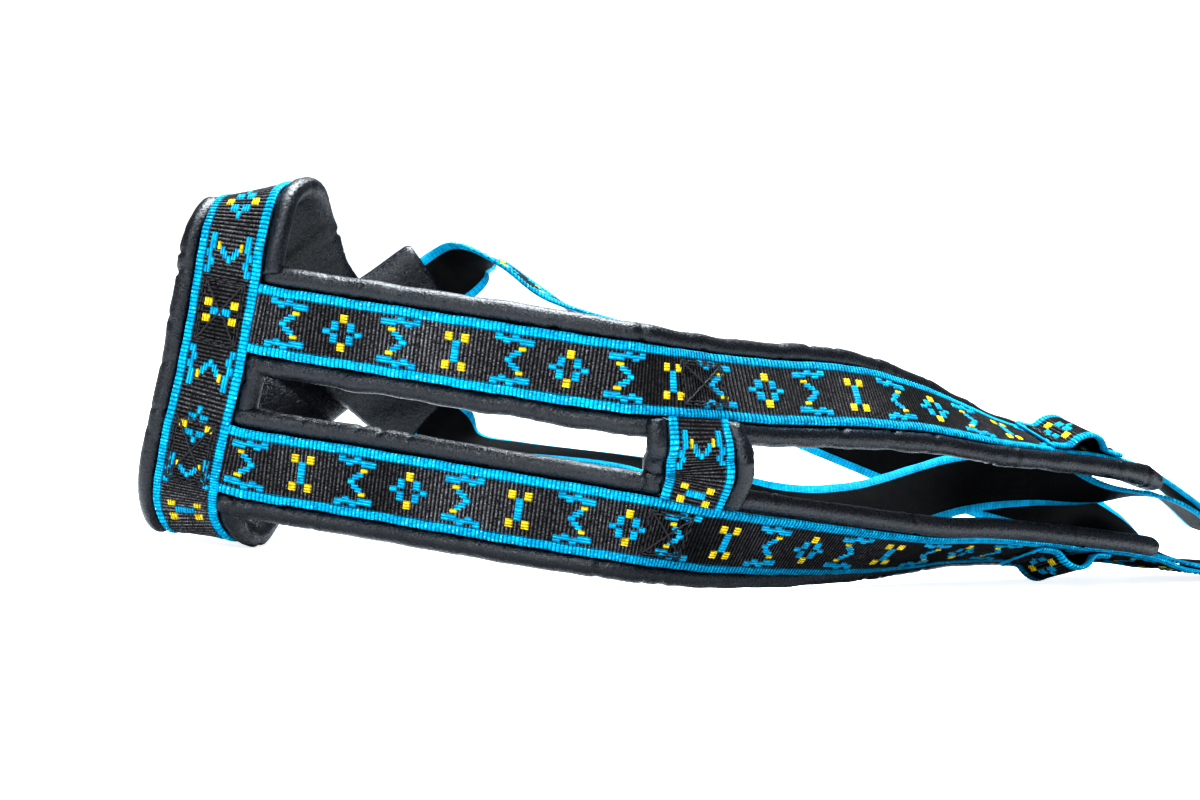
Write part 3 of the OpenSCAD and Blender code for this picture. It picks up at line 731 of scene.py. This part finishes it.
# Tug loop and ring
# A narrow plain webbing folded round a welded steel ring, with both plies sewn between the flank straps.
# The ring turns in the fold.
ring_x = tail_x + tail_l + 10 + eye_r
fold = [
    [tail_x + 2, tail_y, tail_z - ply_gap, 0, 0, -1],
    [tail_x + tail_l, tail_y, tail_z - ply_gap, 0, 0, -1]]
for turn in np.radians([-125, -90, -45, 0, 45, 90, 125]):
    fold.append([ring_x + eye_r * math.cos(turn), tail_y, tail_z + eye_r * math.sin(turn),
        math.cos(turn), 0, math.sin(turn)])
fold += [
    [tail_x + tail_l, tail_y, tail_z + ply_gap, 0, 0, 1],
    [tail_x + 2, tail_y, tail_z + ply_gap, 0, 0, 1]]
tug = Route(fold)
tug_band = weave("tug_loop_band", tug, 0, tug.end, [(0.0, 0.0)], width=tug_w, base=0, figured=False, seed=71)
tug_band.data.materials.append(patterned)
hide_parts("tug_loop")
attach(tug_band, "harness")

steel, tree, shader = new_material("brushed steel")
place = node(tree, "ShaderNodeTexCoord")
drawn_out = node(tree, "ShaderNodeMapping",
    {"Vector": place.outputs["Object"], "Scale": (300.0, 300.0, 2600.0)})
scratch = node(tree, "ShaderNodeTexNoise", {"Vector": drawn_out.outputs[0], "Scale": 1.0, "Detail": 4.0})
polish = node(tree, "ShaderNodeMapRange",
    {"Value": scratch.outputs["Fac"], "From Min": 0.3, "From Max": 0.7, "To Min": 0.16, "To Max": 0.34})
tint = node(tree, "ShaderNodeValToRGB", {"Fac": scratch.outputs["Fac"]})
tint.color_ramp.elements[0].color = (0.24, 0.25, 0.27, 1)
tint.color_ramp.elements[1].color = (0.42, 0.43, 0.45, 1)
bump = node(tree, "ShaderNodeBump", {"Height": scratch.outputs["Fac"], "Strength": 0.15, "Distance": 0.0001})
tree.links.new(tint.outputs["Color"], shader.inputs["Base Color"])
tree.links.new(polish.outputs[0], shader.inputs["Roughness"])
tree.links.new(bump.outputs[0], shader.inputs["Normal"])
shader.inputs["Metallic"].default_value = 1.0
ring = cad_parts["tug_ring"]
ring.data.materials.clear()
ring.data.materials.append(steel)
for polygon in ring.data.polygons:
    polygon.material_index = 0

# Stitching
# Bonded black thread in boxes with a cross, wherever two webbings are sewn, and in rows at the loops' feet.
# Each stitch is a short twisted thread whose ends sink into the webbing.
thread_r = 0.38
stitch_l = 3.2
stitch_rings = 7
stitch_sides = 6
stitch_jitter = 0.15
stitch_rise = 0.55
stitch_sink = 0.35
thread_gap = 0.15
on_ply = ply_gap + webbing_t + thread_gap
on_feet = on_ply + webbing_t + 0.45
box_w = webbing_w - 9

thread, tree, shader = new_material("bonded thread")
strands = node(tree, "ShaderNodeTexCoord")
twist = node(tree, "ShaderNodeTexNoise",
    {"Vector": strands.outputs["Object"], "Scale": 2500.0, "Detail": 3.0})
tone = node(tree, "ShaderNodeValToRGB", {"Fac": twist.outputs["Fac"]})
tone.color_ramp.elements[0].color = (0.004, 0.004, 0.005, 1)
tone.color_ramp.elements[1].color = (0.03, 0.03, 0.034, 1)
bump = node(tree, "ShaderNodeBump", {"Height": twist.outputs["Fac"], "Strength": 0.5, "Distance": 0.0001})
tree.links.new(tone.outputs["Color"], shader.inputs["Base Color"])
tree.links.new(bump.outputs[0], shader.inputs["Normal"])
shader.inputs["Roughness"].default_value = 0.5


def stitches(name, rows, replaced, seed):
    """rows are (route, start, stop, height), with start and stop as (length, side)."""
    rng = np.random.default_rng(seed)
    points = []
    faces = []
    around = np.linspace(0, 2 * math.pi, stitch_sides, endpoint=False)
    for route, start, stop, height in rows:
        start, stop = np.array(start, float), np.array(stop, float)
        count = max(1, round(np.linalg.norm(stop - start) / stitch_l))
        for i in range(count):
            a = start + (stop - start) * (i + 0.06) / count + rng.normal(0, stitch_jitter, 2)
            b = start + (stop - start) * (i + 0.94) / count + rng.normal(0, stitch_jitter, 2)
            t = np.linspace(0, 1, stitch_rings)
            mid = a + (b - a) * t[:, None]
            arc = height + stitch_rise * np.sin(math.pi * t) ** 0.6 - stitch_sink
            line = np.vstack([route.on(s, v, h)[0] for (s, v), h in zip(mid, arc)])
            run = unit(np.gradient(line, axis=0))
            out = route.frame(mid[:, 0])[1]
            side = unit(np.cross(run, out))
            lift = np.cross(side, run)
            fat = thread_r * np.clip(np.sin(math.pi * np.clip(t, 0.08, 0.92)) ** 0.3, 0.3, 1)
            ring_points = line[:, None] + fat[:, None, None] * (
                np.cos(around)[None, :, None] * side[:, None] + np.sin(around)[None, :, None] * lift[:, None])
            base = len(points) * stitch_rings * stitch_sides
            points.append(ring_points.reshape(-1, 3))
            for j in range(stitch_rings - 1):
                for k in range(stitch_sides):
                    p = base + j * stitch_sides + k
                    q = base + j * stitch_sides + (k + 1) % stitch_sides
                    faces.append((p, p + stitch_sides, q + stitch_sides, q))
            faces.append(tuple(base + k for k in range(stitch_sides)))
            last = base + (stitch_rings - 1) * stitch_sides
            faces.append(tuple(last + k for k in reversed(range(stitch_sides))))
    mesh = bpy.data.meshes.new(name)
    mesh.from_pydata((np.vstack(points) * 0.001).tolist(), [], faces)
    mesh.shade_smooth()
    mesh.materials.append(thread)
    piece = bpy.data.objects.new(name, mesh)
    scene.collection.objects.link(piece)
    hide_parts(replaced)
    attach(piece, "harness")


def crossed_box(route, at, length, width, height):
    x, y = length / 2, width / 2
    corners = [(-x, -y), (x, -y), (x, y), (-x, y)]
    lines = [(corners[i], corners[(i + 1) % 4]) for i in range(4)]
    lines += [(corners[0], corners[2]), (corners[1], corners[3])]
    return [(route, (at + a[0], a[1]), (at + b[0], b[1]), height) for a, b in lines]


def doubled_box(route, at, length):
    """Two crossed boxes across a webbing, one a millimetre inside the other."""
    return (crossed_box(route, at, length, box_w, on_ply)
        + crossed_box(route, at, length - 2, box_w - 2, on_ply))


def bars(route, lengths, half_w, height):
    return [(route, (s, -half_w), (s, half_w), height) for s in lengths]


stitches("collar_left_seam", doubled_box(collar, collar_left_at, 23), "collar_left_stitching", 81)
stitches("collar_right_seam", doubled_box(collar, collar_right_at, 23), "collar_right_stitching", 82)
stitches("cross_left_seam", doubled_box(left, cross_left_at + 5, 20), "cross_left_stitching", 83)
stitches("cross_right_seam", doubled_box(right, cross_right_at - 5, 16), "cross_right_stitching", 84)
stitches("withers_seam", crossed_box(collar, 45, 18, box_w, on_ply)
    + bars(collar, (3, 6, collar.end - 6, collar.end - 3), box_w / 2, on_ply), "withers_stitching", 85)
stitches("back_strap_seams", crossed_box(left, 458, 18, box_w, on_ply)
    + crossed_box(right, 458, 18, box_w, on_ply), "back_strap_stitching", 86)
feet = [side_loop_at + end * (loop_l / 2 - inset) for end in (-1, 1) for inset in (2, 4.5)]
stitches("side_loop_seams", bars(left, feet, box_w / 2, on_feet) + bars(right, feet, box_w / 2, on_feet),
    "side_loop_stitching", 87)
stitches("tail_seams", crossed_box(left, left.end - tail_l / 2 - 1, tail_l - 6, tug_w - 4, on_ply)
    + crossed_box(right, right.end - tail_l / 2 - 1, tail_l - 6, tug_w - 4, on_ply), "tail_stitching", 88)
